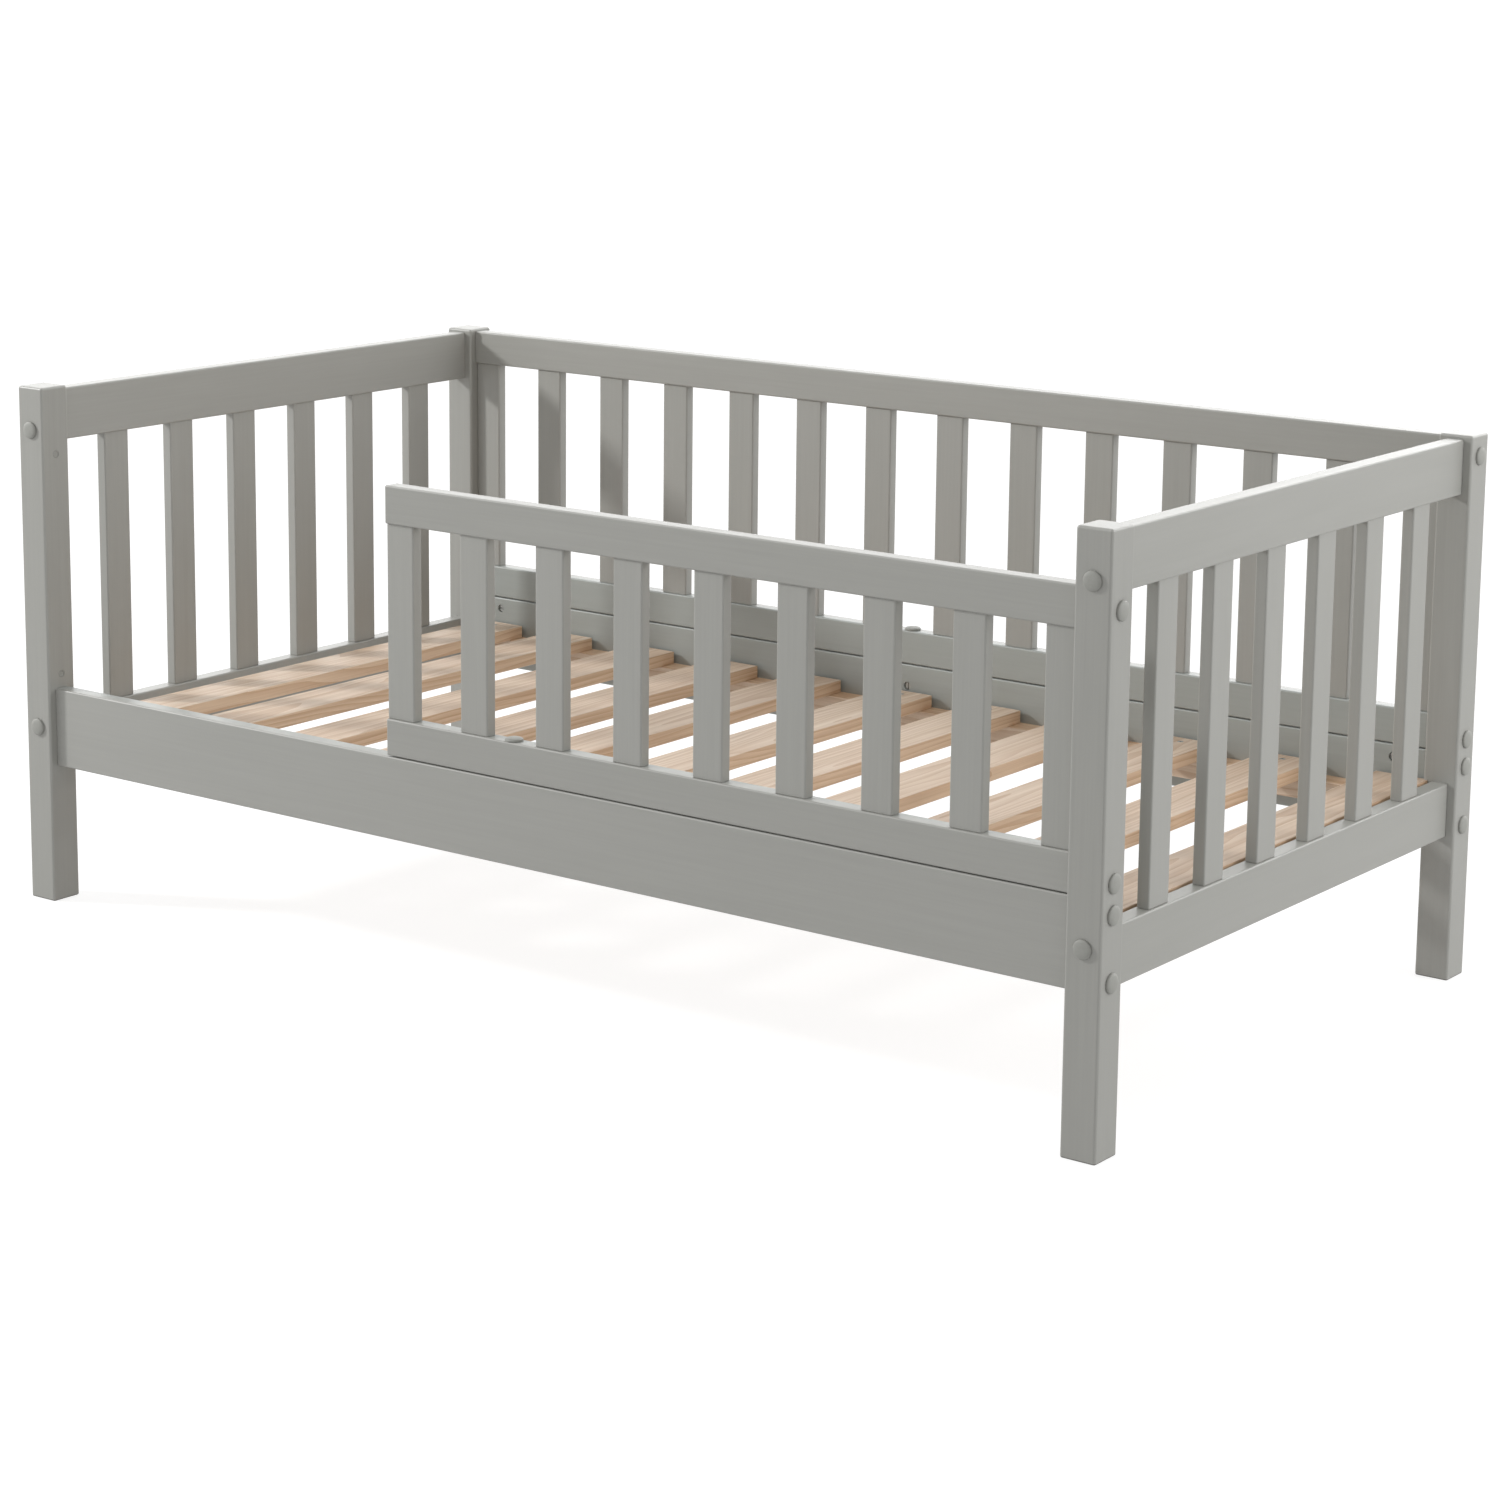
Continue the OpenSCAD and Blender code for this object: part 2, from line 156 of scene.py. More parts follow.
class Nodes:
    """Short names for building one material's node tree."""

    def __init__(self, name):
        self.material = bpy.data.materials.new(name)
        self.material.use_nodes = True
        self.tree = self.material.node_tree
        self.shader = self.tree.nodes["Principled BSDF"]

    def add(self, kind, **settings):
        node = self.tree.nodes.new(kind)
        for key, value in settings.items():
            setattr(node, key, value)
        return node

    def link(self, source, target):
        self.tree.links.new(source, target)

    def attribute(self, name):
        return self.add("ShaderNodeAttribute", attribute_name=name)

    def stretched(self, vector, scale):
        node = self.add("ShaderNodeMapping")
        node.inputs["Scale"].default_value = scale
        self.link(vector, node.inputs["Vector"])
        return node.outputs["Vector"]

    def noise(self, vector, scale, detail=3.0, roughness=0.55, distortion=0.0):
        node = self.add("ShaderNodeTexNoise")
        node.inputs["Scale"].default_value = scale
        node.inputs["Detail"].default_value = detail
        node.inputs["Roughness"].default_value = roughness
        node.inputs["Distortion"].default_value = distortion
        self.link(vector, node.inputs["Vector"])
        return node.outputs["Fac"]

    def ramp(self, factor, stops):
        node = self.add("ShaderNodeValToRGB")
        elements = node.color_ramp.elements
        while len(elements) < len(stops):
            elements.new(0.5)
        for element, (place, colour) in zip(elements, stops):
            element.position = place
            element.color = (*colour, 1.0)
        self.link(factor, node.inputs["Fac"])
        return node.outputs["Color"]

    def mix(self, factor, a, b, blend="MIX"):
        node = self.add("ShaderNodeMix", data_type="RGBA", blend_type=blend)
        for socket, value in ((node.inputs[0], factor), (node.inputs[6], a), (node.inputs[7], b)):
            if isinstance(value, bpy.types.NodeSocket):
                self.link(value, socket)
            elif isinstance(value, tuple):
                socket.default_value = (*value, 1.0)
            else:
                socket.default_value = value
        return node.outputs[2]

    def math(self, operation, a, b=0.0):
        node = self.add("ShaderNodeMath", operation=operation)
        for socket, value in zip(node.inputs, (a, b)):
            if isinstance(value, bpy.types.NodeSocket):
                self.link(value, socket)
            else:
                socket.default_value = value
        return node.outputs[0]

    def spread(self, factor, low, high):
        node = self.add("ShaderNodeMapRange")
        node.inputs["From Min"].default_value = 0.3
        node.inputs["From Max"].default_value = 0.7
        node.inputs["To Min"].default_value = low
        node.inputs["To Max"].default_value = high
        self.link(factor, node.inputs["Value"])
        return node.outputs["Result"]

    def bump(self, height, strength, distance, normal=None):
        node = self.add("ShaderNodeBump")
        node.inputs["Strength"].default_value = strength
        node.inputs["Distance"].default_value = distance
        self.link(height, node.inputs["Height"])
        if normal is not None:
            self.link(normal, node.inputs["Normal"])
        return node.outputs["Normal"]


def painted_wood():
    """Sprayed satin paint over fine wood: a faint long grain and a slight orange peel.

    The darkest tint is painted shade: it darkens the rounding under a leg as a contact line with the floor.
    The lighter tint on every rounding is a painted highlight. The cool tint takes back the pine's warm
    bounce.
    """
    n = Nodes("painted_wood")
    along = n.attribute("grain_co").outputs["Vector"]
    edge = n.attribute("edge").outputs["Fac"]
    tone = n.attribute("tone").outputs["Fac"]
    foot_shade = n.attribute("foot_shade").outputs["Fac"]
    cool = n.attribute("cool").outputs["Fac"]
    fine = n.noise(n.stretched(along, (2.5, 120.0, 120.0)), 3.0, detail=4.0)
    broad = n.noise(n.stretched(along, (1.0, 6.0, 6.0)), 3.0, detail=2.0)
    peel = n.noise(along, 900.0, detail=1.0)
    base = n.ramp(broad, [(0.3, (0.325, 0.324, 0.302)), (0.7, (0.335, 0.333, 0.312))])
    base = n.mix(0.10, base, n.ramp(fine, [(0.33, (0.26, 0.26, 0.24)), (0.67, (0.40, 0.397, 0.375))]))
    base = n.mix(1.0, base, n.ramp(tone, [(0.0, (0.985, 0.985, 0.98)), (1.0, (1.0, 1.0, 1.0))]), "MULTIPLY")
    # Painted highlight: the roundings of every board are tinted lighter.
    base = n.mix(n.math("MULTIPLY", edge, 0.08), base, (0.52, 0.52, 0.49))
    base = n.mix(cool, base, n.mix(1.0, base, (1.0, 1.06, 1.08), "MULTIPLY"))
    # Painted shade: the rounding under each leg is tinted near black, a contact line with the floor.
    n.link(n.mix(foot_shade, base, (0.11, 0.105, 0.09)), n.shader.inputs["Base Color"])
    n.link(n.spread(fine, 0.34, 0.44), n.shader.inputs["Roughness"])
    grain = n.bump(fine, 0.10, 0.0006)
    n.link(n.bump(peel, 0.06, 0.0002, grain), n.shader.inputs["Normal"])
    return n.material


def pine():
    """Planed pine: growth rings cut by the board's faces, warmer late wood, fine pores."""
    n = Nodes("pine")
    place = n.attribute("ring_co").outputs["Vector"]
    tone = n.attribute("tone").outputs["Fac"]
    side = n.attribute("side").outputs["Fac"]
    wander = n.noise(n.stretched(place, (1.1, 9.0, 9.0)), 1.6, detail=2.0)
    rings = n.add("ShaderNodeTexWave", wave_type="RINGS", rings_direction="X", wave_profile="SAW")
    rings.inputs["Scale"].default_value = 48.0
    rings.inputs["Distortion"].default_value = 0.0
    n.link(place, rings.inputs["Vector"])
    n.link(n.math("MULTIPLY", wander, 46.0), rings.inputs["Phase Offset"])
    late = n.math("POWER", rings.outputs["Fac"], 1.7)
    fibre = n.noise(n.stretched(place, (6.0, 420.0, 420.0)), 2.0, detail=4.0)
    streak = n.noise(n.stretched(place, (1.5, 150.0, 150.0)), 1.0, detail=2.0)
    blotch = n.noise(n.stretched(place, (2.0, 14.0, 14.0)), 2.0, detail=2.0)
    early = n.ramp(blotch, [(0.3, (0.66, 0.53, 0.424)), (0.7, (0.715, 0.60, 0.49))])
    wood = n.mix(n.math("MULTIPLY", late, 0.75), early, (0.485, 0.328, 0.217))
    wood = n.mix(0.16, wood, n.ramp(fibre, [(0.35, (0.42, 0.28, 0.18)), (0.65, (0.84, 0.70, 0.55))]))
    wood = n.mix(1.0, wood, n.ramp(streak, [(0.35, (0.88, 0.85, 0.81)), (0.6, (1.0, 1.0, 1.0))]), "MULTIPLY")
    # Painted shade: the narrow faces take a warmer, slightly darker tint than the tops, for how light falls
    # on them.
    wood = n.mix(side, wood, n.mix(1.0, wood, (1.06, 0.96, 0.84), "MULTIPLY"))
    shade = n.ramp(tone, [(0.0, (0.92, 0.89, 0.86)), (1.0, (1.0, 1.0, 1.0))])
    n.link(n.mix(1.0, wood, shade, "MULTIPLY"), n.shader.inputs["Base Color"])
    n.link(n.spread(fibre, 0.52, 0.66), n.shader.inputs["Roughness"])
    grain = n.bump(fibre, 0.22, 0.0005)
    n.link(n.bump(late, 0.12, 0.0006, grain), n.shader.inputs["Normal"])
    return n.material


def cap_plastic():
    """Moulded cap, colour-matched to the paint, with a finer and duller skin."""
    n = Nodes("cap_plastic")
    place = n.add("ShaderNodeTexCoord").outputs["Object"]
    mottle = n.noise(place, 260.0, detail=2.0)
    skin = n.noise(place, 1800.0, detail=2.0)
    colour = n.ramp(mottle, [(0.3, (0.296, 0.297, 0.274)), (0.7, (0.316, 0.317, 0.294))])
    n.link(colour, n.shader.inputs["Base Color"])
    n.link(n.spread(mottle, 0.50, 0.58), n.shader.inputs["Roughness"])
    n.shader.inputs["Specular IOR Level"].default_value = 0.3
    n.link(n.bump(skin, 0.10, 0.0001), n.shader.inputs["Normal"])
    return n.material


def zinc_steel():
    """Dull zinc-plated steel, cloudy and finely scratched."""
    n = Nodes("zinc_steel")
    place = n.add("ShaderNodeTexCoord").outputs["Object"]
    cloud = n.noise(place, 420.0, detail=3.0)
    scratch = n.noise(n.stretched(place, (900.0, 900.0, 60.0)), 2.0, detail=2.0)
    colour = n.ramp(cloud, [(0.3, (0.32, 0.325, 0.32)), (0.7, (0.44, 0.44, 0.42))])
    n.link(colour, n.shader.inputs["Base Color"])
    n.shader.inputs["Metallic"].default_value = 1.0
    n.link(n.spread(scratch, 0.28, 0.44), n.shader.inputs["Roughness"])
    n.link(n.bump(scratch, 0.12, 0.0001), n.shader.inputs["Normal"])
    return n.material


def beech():
    """Turned beech dowel with short flecks."""
    n = Nodes("beech")
    place = n.add("ShaderNodeTexCoord").outputs["Object"]
    fleck = n.noise(n.stretched(place, (500.0, 40.0, 500.0)), 1.0, detail=3.0)
    colour = n.ramp(fleck, [(0.3, (0.48, 0.31, 0.18)), (0.7, (0.63, 0.44, 0.28))])
    n.link(colour, n.shader.inputs["Base Color"])
    n.link(n.spread(fleck, 0.5, 0.65), n.shader.inputs["Roughness"])
    n.link(n.bump(fleck, 0.2, 0.0002), n.shader.inputs["Normal"])
    return n.material


MATERIALS = {
    "painted_wood": painted_wood(),
    "pine": pine(),
    "cap_plastic": cap_plastic(),
    "zinc_steel": zinc_steel(),
    "beech": beech(),
}
NAME_ENDS = {"painted_wood": "_paint", "pine": "_pine"}


# ---------------------------------------------------------------- board shapes

def rounded_outline(half_w, half_t, radius):
    """Points round a rectangle with rounded corners, anticlockwise."""
    points = []
    for corner, (sw, st) in enumerate(((1, 1), (-1, 1), (-1, -1), (1, -1))):
        for step in range(ROUND_STEPS + 1):
            angle = (corner + step / ROUND_STEPS) * math.pi / 2
            points.append((
                sw * (half_w - radius) + radius * math.cos(angle),
                st * (half_t - radius) + radius * math.sin(angle),
            ))
    return points


def board_mesh(low, high, axis, radius, end_rounds):
    """Mesh data of a board along an axis, its long edges and both its ends rounded."""
    low, high = Vector(low), Vector(high)
    centre, half = (low + high) / 2, (high - low) / 2
    wide, thick = [a for a in (X, Y, Z) if a != axis]
    stations = []
    for end, round_r in zip((-1, 1), end_rounds):
        ring = []
        for step in range(ROUND_STEPS):
            angle = step / (ROUND_STEPS - 1) * math.pi / 2
            inset = round_r * (1 - math.sin(angle))
            ring.append((end * (half[axis] - round_r * (1 - math.cos(angle))), inset))
        stations += ring if end < 0 else ring[::-1]
    vertices = []
    for place, inset in stations:
        corner = max(radius - inset, radius * LEAST_CORNER)
        for w, t in rounded_outline(half[wide] - inset, half[thick] - inset, corner):
            point = [0.0, 0.0, 0.0]
            point[axis], point[wide], point[thick] = place, w, t
            vertices.append(centre + Vector(point))
    count = 4 * (ROUND_STEPS + 1)
    faces = []
    for i in range(len(stations) - 1):
        for j in range(count):
            k = (j + 1) % count
            faces.append((i * count + j, i * count + k, (i + 1) * count + k, (i + 1) * count + j))
    faces.append(tuple(range(count))[::-1])
    last = (len(stations) - 1) * count
    faces.append(tuple(range(last, last + count)))
    return vertices, faces


def cylinder_mesh(base, axis, sign, radius, depth, segments=CUT_SEGMENTS):
    """Mesh data of a cylinder that starts at base and runs along an axis."""
    wide, thick = [a for a in (X, Y, Z) if a != axis]
    vertices, faces = [], []
    for along in (0.0, depth * sign):
        for i in range(segments):
            angle = 2 * math.pi * i / segments
            point = list(base)
            point[axis] += along
            point[wide] += radius * math.cos(angle)
            point[thick] += radius * math.sin(angle)
            vertices.append(Vector(point))
    for i in range(segments):
        j = (i + 1) % segments
        faces.append((i, j, segments + j, segments + i))
    faces.append(tuple(range(segments))[::-1])
    faces.append(tuple(range(segments, 2 * segments)))
    return vertices, faces


def new_object(name, parts):
    """One object from several (vertices, faces) pairs, with its normals turned outwards."""
    vertices, faces = [], []
    for part_vertices, part_faces in parts:
        start = len(vertices)
        vertices += [tuple(v) for v in part_vertices]
        faces += [tuple(i + start for i in face) for face in part_faces]
    mesh = bpy.data.meshes.new(name)
    mesh.from_pydata(vertices, [], faces)
    build = bmesh.new()
    build.from_mesh(mesh)
    bmesh.ops.recalc_face_normals(build, faces=build.faces)
    build.to_mesh(mesh)
    build.free()
    made = bpy.data.objects.new(name, mesh)
    bpy.context.scene.collection.objects.link(made)
    return made


def cut(made, cutters):
    """Takes the cutters, a list of (vertices, faces) pairs, out of a piece."""
    tool = new_object("cutter", cutters)
    modifier = made.modifiers.new("cut", "BOOLEAN")
    modifier.object = tool
    modifier.operation = "DIFFERENCE"
    modifier.solver = "EXACT"
    bpy.context.view_layer.update()
    shaped = made.evaluated_get(bpy.context.evaluated_depsgraph_get())
    mesh = bpy.data.meshes.new_from_object(shaped)
    made.modifiers.clear()
    made.data = mesh
    bpy.data.objects.remove(tool)


def finish(made, slot, nodes, sharp=50.0):
    """Shades a piece, gives it its material and ties it to the CAD nodes it stands for."""
    mesh = made.data
    mesh.name = made.name
    mesh.materials.clear()
    mesh.materials.append(MATERIALS[slot])
    mesh.shade_smooth()
    mesh.set_sharp_from_angle(angle=math.radians(sharp))
    modifier = made.modifiers.new("even_normals", "WEIGHTED_NORMAL")
    modifier.keep_sharp = True
    modifier.weight = 80
    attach(made, "root")
    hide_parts(*nodes)


def edge_highlight_share(point, low, high, radius):
    """1 in the middle of a rounded edge, 0 on the flats."""
    over = []
    for a in (X, Y, Z):
        over.append(max(low[a] + radius - point[a], point[a] - high[a] + radius, 0.0) / radius)
    over.sort()
    return min(1.0, over[1] / EDGE_HIGHLIGHT_FULL)


def tag_wood(made, boxes, axis, radius):
    """Stores on each point where it lies in its board, for grain, rings, edges, tone and tints."""
    wide, thick = [a for a in (X, Y, Z) if a != axis]
    boards = []
    for low, high in boxes:
        shift = Vector((rng.uniform(0, GRAIN_SHIFT_ALONG), rng.uniform(0, GRAIN_SHIFT_ACROSS),
                        rng.uniform(0, GRAIN_SHIFT_ACROSS)))
        flip = rng.choice((-1, 1))
        aside = rng.uniform(-PITH_ASIDE, PITH_ASIDE)
        pith = Vector((0.0, aside, rng.choice((-1, 1)) * rng.uniform(*PITH_DEEP)))
        boards.append((low, high, shift, flip, pith, rng.random()))
    grain, rings, edges, tones, foot_shades, cools = [], [], [], [], [], []
    for vertex in made.data.vertices:
        point = vertex.co
        low, high, shift, flip, pith, tone = min(
            boards, key=lambda b: sum(max(b[0][a] - point[a], point[a] - b[1][a], 0.0) for a in (X, Y, Z)))
        middle = (low + high) / 2
        off = point - middle
        local = Vector((flip * off[axis], off[wide], off[thick]))
        grain += list(local + shift)
        rings += list(Vector((local.x + shift.x, local.y, local.z)) + pith)
        # Painted highlight: strength of the lighter tint on rounded edges.
        edges.append(edge_highlight_share(point, low, high, radius))
        tones.append(tone)
        # Painted shade: points on the rounding under a leg.
        foot_shades.append(1.0 if point.z < FOOT_SHADE_TOP else 0.0)
        inner = axis == X and abs(point.y) < abs(middle.y) and point.z < GLOW_TOP
        cools.append(1.0 if inner else 0.0)
    for name, kind, values, key in (
        ("grain_co", "FLOAT_VECTOR", grain, "vector"),
        ("ring_co", "FLOAT_VECTOR", rings, "vector"),
        ("edge", "FLOAT", edges, "value"),
        ("tone", "FLOAT", tones, "value"),
        ("foot_shade", "FLOAT", foot_shades, "value"),
        ("cool", "FLOAT", cools, "value"),
    ):
        made.data.attributes.new(name, kind, "POINT").data.foreach_set(key, values)
    # Painted shade: the faces that take the pine's warmer side tint.
    edge_axis = wide if axis != X else thick
    side_shades = [1.0 if abs(face.normal[edge_axis]) > SIDE_NORMAL else 0.0 for face in made.data.polygons]
    made.data.attributes.new("side", "FLOAT", "FACE").data.foreach_set("value", side_shades)


def wood_piece(node, boxes, axis, radius, ends, material, *cuts):
    """The board or like boards of one CAD node, with each set of holes cut and the grain laid."""
    name = node + NAME_ENDS[material]
    made = new_object(name, [board_mesh(low, high, axis, radius, ends) for low, high in boxes])
    for holes in cuts:
        if holes:
            cut(made, holes)
    tag_wood(made, boxes, axis, radius)
    finish(made, material, [node])


def islands(node):
    """The box of each separate solid in a CAD node."""
    build = bmesh.new()
    build.from_mesh(frame["nodes"][node].data)
    bmesh.ops.remove_doubles(build, verts=build.verts, dist=1e-6)
    seen, found = set(), []
    for start in build.verts:
        if start in seen:
            continue
        stack, low, high = [start], Vector((1e9,) * 3), Vector((-1e9,) * 3)
        seen.add(start)
        while stack:
            vertex = stack.pop()
            low = Vector(map(min, low, vertex.co))
            high = Vector(map(max, high, vertex.co))
            for edge in vertex.link_edges:
                other = edge.other_vert(vertex)
                if other not in seen:
                    seen.add(other)
                    stack.append(other)
        found.append((low, high))
    build.free()
    return sorted(found, key=lambda b: tuple(round(c, 4) for c in (b[0] + b[1])))


def without_tenons(low, high):
    """The seen part of an upright slat."""
    return Vector((low.x, low.y, low.z + TENON)), Vector((high.x, high.y, high.z - TENON))


# ---------------------------------------------------------------- the bed's wood

def posts():
    bores = [m for m in frame["record"]["mounts"] if m["kind"] == "bore"]
    plugs = islands("hole_plugs")
    for row in ("front", "back"):
        for side in ("left", "right"):
            node = f"post_{row}_{side}"
            low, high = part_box(node)
            holes, wider = [], []
            spare = zip(bores, plugs) if node == "post_front_left" else ()
            for bore, (plug_low, plug_high) in spare:
                radius = bore["dims"]["r_mm"] / 1000
                outer = (low.x - CUT_OVER, bore["pos_m"][Y], bore["pos_m"][Z])
                inner = (high.x + CUT_OVER, bore["pos_m"][Y], bore["pos_m"][Z])
                seat_radius = (plug_high.z - plug_low.z) / 2 + PLUG_PLAY
                holes.append(cylinder_mesh(outer, X, 1, radius, high.x - low.x + 2 * CUT_OVER))
                wider.append(cylinder_mesh(outer, X, 1, SINK_RADIUS, SINK_DEPTH + CUT_OVER))
                wider.append(cylinder_mesh(inner, X, -1, seat_radius, high.x - plug_low.x + CUT_OVER))
            wood_piece(node, [(low, high)], Z, POST_ROUND, (FOOT_ROUND, POST_ROUND),
                       "painted_wood", holes, wider)


def end_frames():
    for side in ("left", "right"):
        for level in ("top", "bottom"):
            node = f"end_{level}_rail_{side}"
            wood_piece(node, [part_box(node)], Y, RAIL_ROUND, SQUARE_ENDS, "painted_wood")
        for number in range(1, 7):
            node = f"end_slat_{side}_{number}"
            wood_piece(node, [without_tenons(*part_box(node))], Z, SLAT_ROUND, SQUARE_ENDS, "painted_wood")


def side_rails():
    nuts = islands("barrel_nuts")
    for row, sign in (("front", -1), ("back", 1)):
        node = f"side_rail_{row}"
        low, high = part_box(node)
        inner = high.y if sign < 0 else low.y
        holes = []
        for nut_low, nut_high in nuts:
            middle = (nut_low + nut_high) / 2
            if middle.y * sign > 0:
                start = Vector((middle.x, inner - sign * CUT_OVER, middle.z))
                holes.append(cylinder_mesh(start, Y, sign, NUT_HOLE_RADIUS, NUT_HOLE_DEPTH + CUT_OVER))
        wood_piece(node, [(low, high)], X, RAIL_ROUND, SQUARE_ENDS, "painted_wood", holes)


def lifted(low, high):
    """A rail that lies on a side rail, with the thin shadow gap between the two."""
    return Vector((low.x, low.y, low.z + JOINT_GAP)), high


def back_panel():
    low_rail, top_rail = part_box("back_bottom_rail"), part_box("back_top_rail")
    for node, box in (("back_top_rail", top_rail), ("back_bottom_rail", lifted(*low_rail))):
        wood_piece(node, [box], X, RAIL_ROUND, SQUARE_ENDS, "painted_wood")
    boxes = []
    for low, high in islands("back_slats"):
        boxes.append((Vector((low.x, low.y, low_rail[1].z)), Vector((high.x, high.y, top_rail[0].z))))
    wood_piece("back_slats", boxes, Z, SLAT_ROUND, SQUARE_ENDS, "painted_wood")


def guard():
    for node, box in (("guard_top_rail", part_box("guard_top_rail")),
                      ("guard_bottom_rail", lifted(*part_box("guard_bottom_rail")))):
        wood_piece(node, [box], X, RAIL_ROUND, (RAIL_ROUND, BUTT_ROUND), "painted_wood")
    for number in range(1, 10):
        node = f"guard_slat_{number}"
        wood_piece(node, [without_tenons(*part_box(node))], Z, SLAT_ROUND, SQUARE_ENDS, "painted_wood")


def base():
    heads = islands("slat_screws")
    for number in range(1, 12):
        node = f"base_slat_{number}"
        low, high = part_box(node)
        holes = []
        for head_low, head_high in heads:
            middle = (head_low + head_high) / 2
            if low.x < middle.x < high.x:
                start = Vector((middle.x, middle.y, high.z + CUT_OVER))
                sink_radius = SCREW_HEAD_RADIUS + SCREW_SINK_PLAY
                holes.append(cylinder_mesh(start, Z, -1, sink_radius, SCREW_SINK_DEPTH + CUT_OVER))
        wood_piece(node, [(low, high)], Y, PINE_ROUND, SQUARE_ENDS, "pine", holes)
    for node in ("ledge_front", "ledge_back"):
        wood_piece(node, [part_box(node)], X, PINE_ROUND, SQUARE_ENDS, "pine")


# ---------------------------------------------------------------- fasteners

def turned(profile, place, axis, sign, segments=CAP_SEGMENTS):
    """Mesh data of a profile of (radius, height) points turned about an axis."""
    wide, thick = [a for a in (X, Y, Z) if a != axis]
    vertices, faces = [], []
    for radius, height in profile:
        for i in range(segments):
            angle = 2 * math.pi * i / segments
            point = list(place)
            point[axis] += sign * height
            point[wide] += radius * math.cos(angle)
            point[thick] += radius * math.sin(angle)
            vertices.append(Vector(point))
    for i in range(len(profile) - 1):
        for j in range(segments):
            k = (j + 1) % segments
            here, above = i * segments, (i + 1) * segments
            faces.append((here + j, here + k, above + k, above + j))
    faces.append(tuple(range(segments)))
    last = (len(profile) - 1) * segments
    faces.append(tuple(range(last, last + segments)))
    return vertices, faces


def cap_profile():
    """Stem, flat underside, short straight rim and a crowned top that turns down at its edge."""
    points = [(CAP_STEM_RADIUS, -CAP_STEM), (CAP_STEM_RADIUS, 0.0), (CAP_RADIUS - CAP_UNDERCUT, 0.0),
              (CAP_RADIUS - CAP_UNDERCUT, CAP_UNDERCUT / 2), (CAP_RADIUS, CAP_UNDERCUT)]
    for step in range(CROWN_STEPS + 1):
        angle = step / CROWN_STEPS * math.pi / 2
        radius = CAP_RADIUS * math.cos(angle) ** (2 / CAP_CROWN)
        height = CAP_RIM + (CAP_HEIGHT - CAP_RIM) * math.sin(angle) ** (2 / CAP_CROWN)
        points.append((max(radius, TIP_RADIUS), height))
    return points


def cover_caps():
    profile = cap_profile()
    parts = []
    for low, high in islands("cover_caps"):
        size, middle = high - low, (low + high) / 2
        axis = min((X, Y, Z), key=lambda a: size[a])
        sign = 1 if axis == Z or middle[axis] > 0 else -1
        place = middle.copy()
        place[axis] = (high if sign > 0 else low)[axis] - sign * CAP_HEIGHT
        parts.append(turned(profile, place, axis, sign))
    made = new_object("cover_caps_moulded", parts)
    finish(made, "cap_plastic", ["cover_caps"], sharp=60.0)


def hole_plugs():
    """Flush discs with a small bevelled lip that close the spare bores on the inside."""
    parts = []
    for low, high in islands("hole_plugs"):
        middle = (low + high) / 2
        radius, depth = (high.z - low.z) / 2, high.x - low.x
        profile = [(radius, 0.0), (radius, depth - PLUG_LIP), (radius - PLUG_LIP, depth),
                   (radius - 2 * PLUG_LIP, depth), (radius - 3 * PLUG_LIP, depth - PLUG_LIP),
                   (TIP_RADIUS, depth - PLUG_LIP)]
        parts.append(turned(profile, (low.x, middle.y, middle.z), X, 1, PLUG_SEGMENTS))
    made = new_object("hole_plugs_moulded", parts)
    finish(made, "cap_plastic", ["hole_plugs"], sharp=30.0)


def barrel_nuts():
    """Steel nuts with a bevelled rim and a screwdriver slot, seen in the side rails' cross holes."""
    parts, slots = [], []
    for low, high in islands("barrel_nuts"):
        middle = (low + high) / 2
        sign = 1 if middle.y > 0 else -1
        length = high.y - low.y
        face = Vector((middle.x, low.y if sign > 0 else high.y, middle.z))
        profile = [(NUT_RADIUS - NUT_BEVEL, NUT_SUNK), (NUT_RADIUS, NUT_SUNK + NUT_BEVEL),
                   (NUT_RADIUS, length)]
        parts.append(turned(profile, face, Y, sign, NUT_SEGMENTS))
        across = Vector((NUT_SLOT_REACH, 0.0, NUT_SLOT_HALF))
        if abs(middle.x) <= END_NUTS_FROM:
            across = Vector((NUT_SLOT_HALF, 0.0, NUT_SLOT_REACH))
        slot_low = face - across
        slot_high = face + across
        bottom = face.y + sign * (NUT_SUNK + NUT_SLOT_DEPTH)
        slot_low.y, slot_high.y = sorted((face.y - sign * CUT_OVER, bottom))
        slots.append(board_mesh(slot_low, slot_high, Y, CUTTER_ROUND, (CUTTER_ROUND, CUTTER_ROUND)))
    made = new_object("barrel_nuts_steel", parts)
    cut(made, slots)
    finish(made, "zinc_steel", ["barrel_nuts"], sharp=30.0)


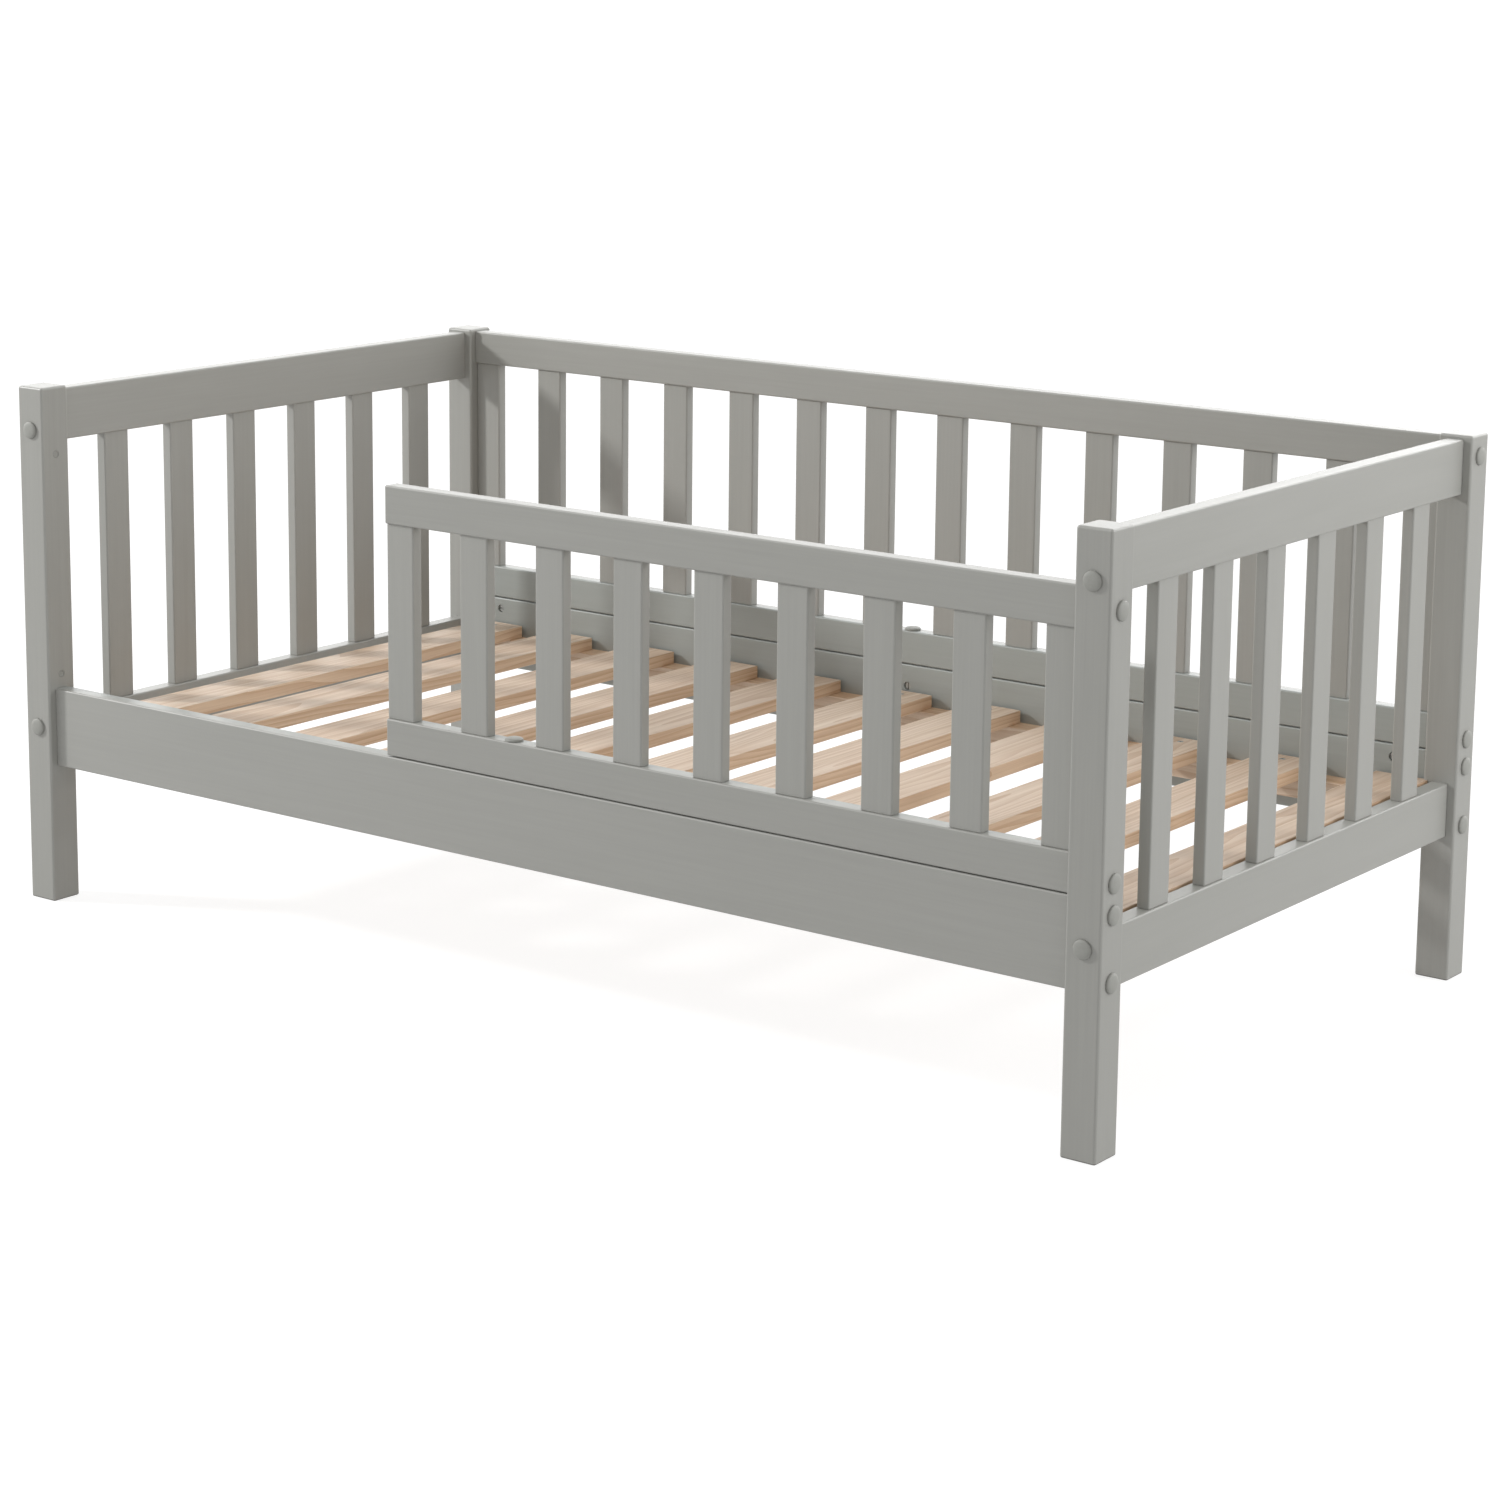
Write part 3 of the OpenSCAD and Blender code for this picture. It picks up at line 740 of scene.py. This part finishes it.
def slat_screws():
    """Countersunk screws with a cross recess in each end of every base slat."""
    parts, recesses = [], []
    for low, high in islands("slat_screws"):
        middle = (low + high) / 2
        top = Vector((middle.x, middle.y, high.z + SCREW_HEAD_RISE))
        head, tip = SCREW_HEAD_RADIUS, low.z - high.z
        profile = [(SCREW_POINT_RADIUS, tip), (SCREW_SHANK_RADIUS, tip + SCREW_POINT_LENGTH),
                   (SCREW_SHANK_RADIUS, -SCREW_HEAD_DEPTH), (head, -SCREW_RIM[0]), (head, -SCREW_RIM[1]),
                   (head - SCREW_HEAD_BEVEL, 0.0)]
        parts.append(turned(profile, top, Z, 1, SCREW_SEGMENTS))
        turn = rng.uniform(0, math.pi / 2)
        for quarter in (0, 1):
            angle = turn + quarter * math.pi / 2
            vertices, faces = board_mesh((-RECESS_REACH, -RECESS_HALF, -RECESS_DEPTH),
                                         (RECESS_REACH, RECESS_HALF, CUT_OVER), X, RECESS_ROUND,
                                         (CUTTER_ROUND, CUTTER_ROUND))
            matrix = Matrix.Translation(top) @ Matrix.Rotation(angle, 4, "Z")
            recesses.append(([matrix @ v for v in vertices], faces))
    made = new_object("slat_screws_steel", parts)
    cut(made, recesses[0::2])
    cut(made, recesses[1::2])
    finish(made, "zinc_steel", ["slat_screws"], sharp=30.0)


def carried_over():
    """Gives the CAD nodes that stay, all of them inside the joints, their materials."""
    for node in ("short_bolts", "long_bolts", "centre_bolts", "insert_nuts", "ledge_screws"):
        frame["nodes"][node].data.materials.clear()
        frame["nodes"][node].data.materials.append(MATERIALS["zinc_steel"])
    frame["nodes"]["dowels"].data.materials.clear()
    frame["nodes"]["dowels"].data.materials.append(MATERIALS["beech"])


# ---------------------------------------------------------------- studio

def studio_floor():
    """A wide plain floor that looks white and lights the bed softly from below."""
    mesh = bpy.data.meshes.new("floor")
    half = FLOOR_HALF
    corners = [(-half, -half, 0), (half, -half, 0), (half, half, 0), (-half, half, 0)]
    mesh.from_pydata(corners, [], [(0, 1, 2, 3)])
    floor = bpy.data.objects.new("floor", mesh)
    bpy.context.scene.collection.objects.link(floor)
    n = Nodes("studio_floor")
    n.shader.inputs["Base Color"].default_value = (*FLOOR_COLOUR, 1.0)
    n.shader.inputs["Roughness"].default_value = 0.9
    n.shader.inputs["Specular IOR Level"].default_value = 0.1
    n.shader.inputs["Emission Color"].default_value = (1.0, 1.0, 1.0, 1.0)
    glow = n.add("ShaderNodeMapRange")
    glow.inputs["To Min"].default_value = FLOOR_LIGHT
    glow.inputs["To Max"].default_value = FLOOR_SEEN
    n.link(n.add("ShaderNodeLightPath").outputs["Is Camera Ray"], glow.inputs["Value"])
    n.link(glow.outputs["Result"], n.shader.inputs["Emission Strength"])
    mesh.materials.append(n.material)


def sun(name, towards, strength, angle):
    """A distant soft light that shines along the vector towards; its irradiance is strength."""
    data = bpy.data.lights.new(name, "SUN")
    data.energy = strength
    data.angle = math.radians(angle)
    lamp = bpy.data.objects.new(name, data)
    lamp.rotation_euler = Vector(towards).to_track_quat("-Z", "Y").to_euler()
    bpy.context.scene.collection.objects.link(lamp)


def card(name, place, aim, size, power):
    """A rectangular soft light that the camera doesn't see."""
    data = bpy.data.lights.new(name, "AREA")
    data.shape = "RECTANGLE"
    data.size, data.size_y = size
    data.energy = power
    lamp = bpy.data.objects.new(name, data)
    lamp.location = place
    lamp.rotation_euler = (Vector(aim) - Vector(place)).to_track_quat("-Z", "Y").to_euler()
    lamp.visible_camera = False
    bpy.context.scene.collection.objects.link(lamp)


def lights():
    """A white world, dimmer to matt surfaces than to glossy ones, with a key, a side and a rear light."""
    world = bpy.data.worlds.new("studio")
    bpy.context.scene.world = world
    world.use_nodes = True
    tree = world.node_tree
    path = tree.nodes.new("ShaderNodeLightPath")
    around = tree.nodes.new("ShaderNodeMapRange")
    around.inputs["To Min"].default_value = AMBIENT
    around.inputs["To Max"].default_value = SHEEN
    tree.links.new(path.outputs["Is Glossy Ray"], around.inputs["Value"])
    strength = tree.nodes.new("ShaderNodeMapRange")
    strength.inputs["To Max"].default_value = 1.0
    tree.links.new(path.outputs["Is Camera Ray"], strength.inputs["Value"])
    tree.links.new(around.outputs["Result"], strength.inputs["To Min"])
    background = tree.nodes["Background"]
    background.inputs["Color"].default_value = (1.0, 1.0, 1.0, 1.0)
    tree.links.new(strength.outputs["Result"], background.inputs["Strength"])
    key_place = Vector(KEY_AIM) - KEY_DISTANCE * Vector(KEY_TOWARDS).normalized()
    card("key", key_place, KEY_AIM, KEY_SIZE, KEY)
    card("side", SIDE_PLACE, SIDE_AIM, SIDE_SIZE, SIDE)
    sun("rear", REAR_TOWARDS, REAR, REAR_ANGLE)


def camera():
    data = bpy.data.cameras.new("camera")
    data.sensor_width = CAMERA_SENSOR
    data.lens = CAMERA_LENS
    data.shift_y = CAMERA_SHIFT
    data.clip_end = CAMERA_FAR
    holder = bpy.data.objects.new("camera", data)
    right = Vector((math.cos(CAMERA_YAW), math.sin(CAMERA_YAW), 0.0))
    level = Vector((-math.sin(CAMERA_YAW), math.cos(CAMERA_YAW), 0.0))
    ahead = level * math.cos(CAMERA_PITCH) + Vector((0, 0, 1)) * math.sin(CAMERA_PITCH)
    up = right.cross(ahead)
    right, up = (right * math.cos(CAMERA_ROLL) + up * math.sin(CAMERA_ROLL),
                 up * math.cos(CAMERA_ROLL) - right * math.sin(CAMERA_ROLL))
    matrix = Matrix((right, up, -ahead)).transposed().to_4x4()
    matrix.translation = Vector(CAMERA_PLACE)
    holder.matrix_world = matrix
    bpy.context.scene.collection.objects.link(holder)
    bpy.context.scene.camera = holder
    bpy.context.scene.view_settings.view_transform = "Standard"


posts()
end_frames()
side_rails()
back_panel()
guard()
base()
cover_caps()
hole_plugs()
barrel_nuts()
slat_screws()
carried_over()
studio_floor()
lights()
camera()
